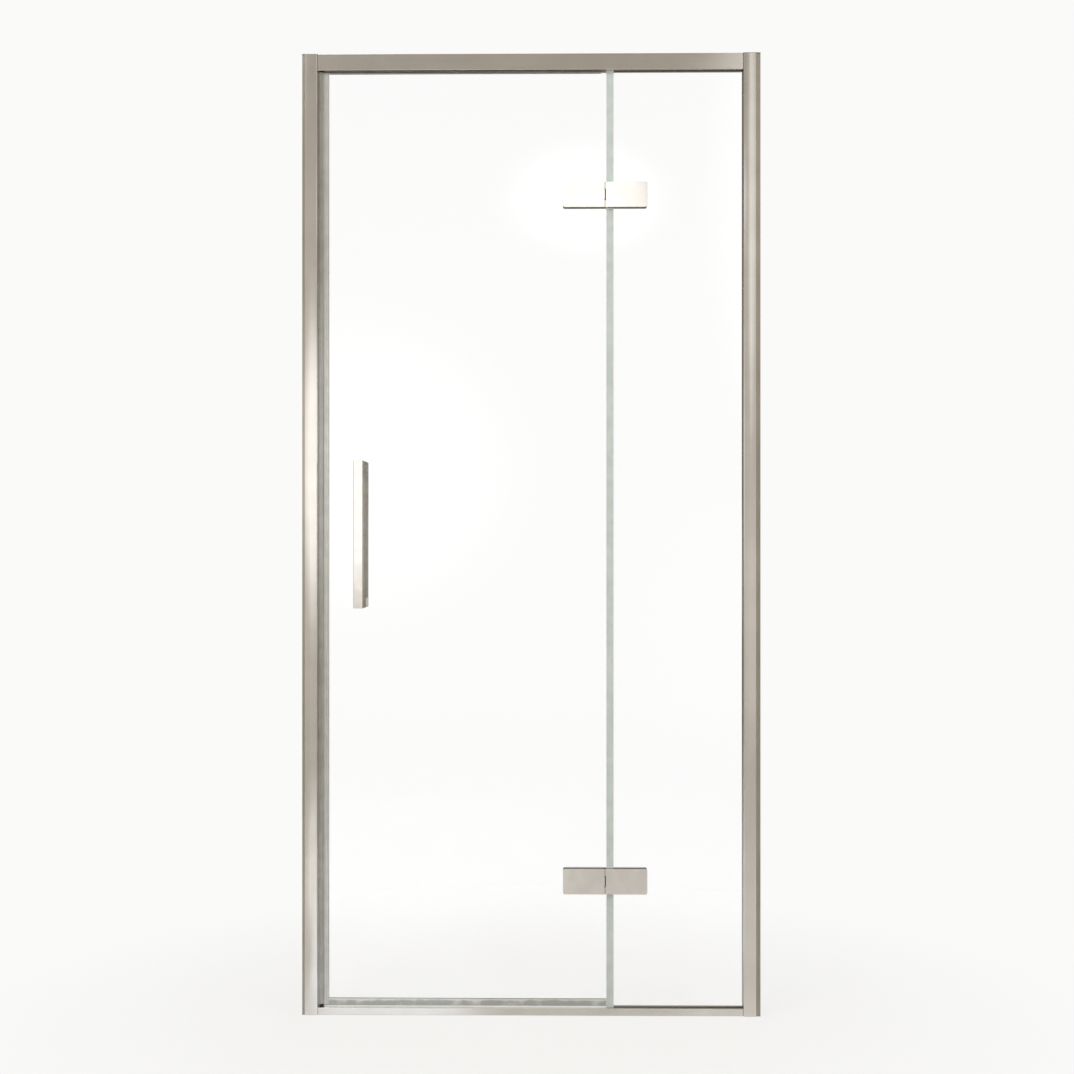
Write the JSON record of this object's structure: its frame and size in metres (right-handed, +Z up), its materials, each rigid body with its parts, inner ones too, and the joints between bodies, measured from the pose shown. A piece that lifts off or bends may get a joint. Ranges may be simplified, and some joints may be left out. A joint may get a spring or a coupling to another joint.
{
  "type": "framed hinged shower door with fixed panel",
  "caption": "Shower door for a niche: a clear glass leaf hung on an in-line fixed glass panel by chrome glass hinges, in a polished aluminium frame, with seals and back-to-back handles.",
  "frame": {"origin": "bottom centre of the frame, on the middle plane of the glass", "axes": "+Z up, +X to the right as seen from outside the shower, +Y into the shower"},
  "size_m": [0.905, 0.106, 1.9],
  "materials": {
    "frame_aluminium": "bright polished and anodised extrusion",
    "channel_aluminium": "satin anodised extrusion",
    "chrome": "polished chrome plate on brass",
    "clear_glass": "clear toughened, ground arrises",
    "seal_pvc": "extruded soft PVC, translucent grey",
    "strike_pvc": "extruded rigid PVC, smoky grey",
    "head_pvc": "extruded PVC, brown-grey",
    "white_plastic": "extruded rigid PVC, white",
    "gasket_rubber": "extruded rubber, matt",
    "magnet_strip": "flexible magnet strip in a grey skin",
    "steel": "stainless steel, bright",
    "black_plastic": "moulded, matt black",
    "grey_plastic": "moulded, grey",
    "clear_plastic": "soft clear PVC"
  },
  "bodies": {
    "frame": {"left_wall_channel": "channel_aluminium", "right_wall_channel": "channel_aluminium", "left_post": "frame_aluminium", "right_post": "frame_aluminium", "post_caps": "grey_plastic", "top_rail": "frame_aluminium", "bottom_rail": "frame_aluminium", "corner_pads": "grey_plastic", "corner_screws": "steel", "channel_lock_screws": "steel", "threshold_infill": "white_plastic", "fixed_glass": "clear_glass", "fixed_side_gaskets": "gasket_rubber", "fixed_top_gaskets": "gasket_rubber", "fixed_bottom_gaskets": "gasket_rubber", "setting_blocks": "black_plastic", "side_seal_lower": "seal_pvc", "side_seal_middle": "seal_pvc", "side_seal_upper": "seal_pvc", "strike_profile": "strike_pvc", "strike_magnet": "magnet_strip", "strike_end_plug": "black_plastic", "top_door_seal": "head_pvc", "lower_hinge_fixed_plate": "chrome", "lower_hinge_fixed_clamp": "chrome", "lower_hinge_fixed_gaskets": "gasket_rubber", "lower_hinge_fixed_screws": "steel", "lower_hinge_pin": "steel", "upper_hinge_fixed_plate": "chrome", "upper_hinge_fixed_clamp": "chrome", "upper_hinge_fixed_gaskets": "gasket_rubber", "upper_hinge_fixed_screws": "steel", "upper_hinge_pin": "steel"},
    "leaf": {"door_glass": "clear_glass", "door_magnet_seal": "seal_pvc", "door_magnet": "magnet_strip", "door_bottom_seal": "seal_pvc", "handle_outer": "chrome", "handle_inner": "chrome", "handle_studs": "steel", "handle_sleeves": "clear_plastic", "handle_pads": "clear_plastic", "handle_grub_screws": "steel", "lower_hinge_door_plate": "chrome", "lower_hinge_door_clamp": "chrome", "lower_hinge_door_gaskets": "gasket_rubber", "lower_hinge_door_screws": "steel", "lower_hinge_bushes": "black_plastic", "upper_hinge_door_plate": "chrome", "upper_hinge_door_clamp": "chrome", "upper_hinge_door_gaskets": "gasket_rubber", "upper_hinge_door_screws": "steel", "upper_hinge_bushes": "black_plastic"}
  },
  "joints": [
    {"name": "door_swing", "type": "hinge", "parent": "frame", "child": "leaf", "pos_m": [0.1442, -0.0095, 0.943], "axis": [0, 0, 1], "range_deg": [0, 90]}
  ]
}
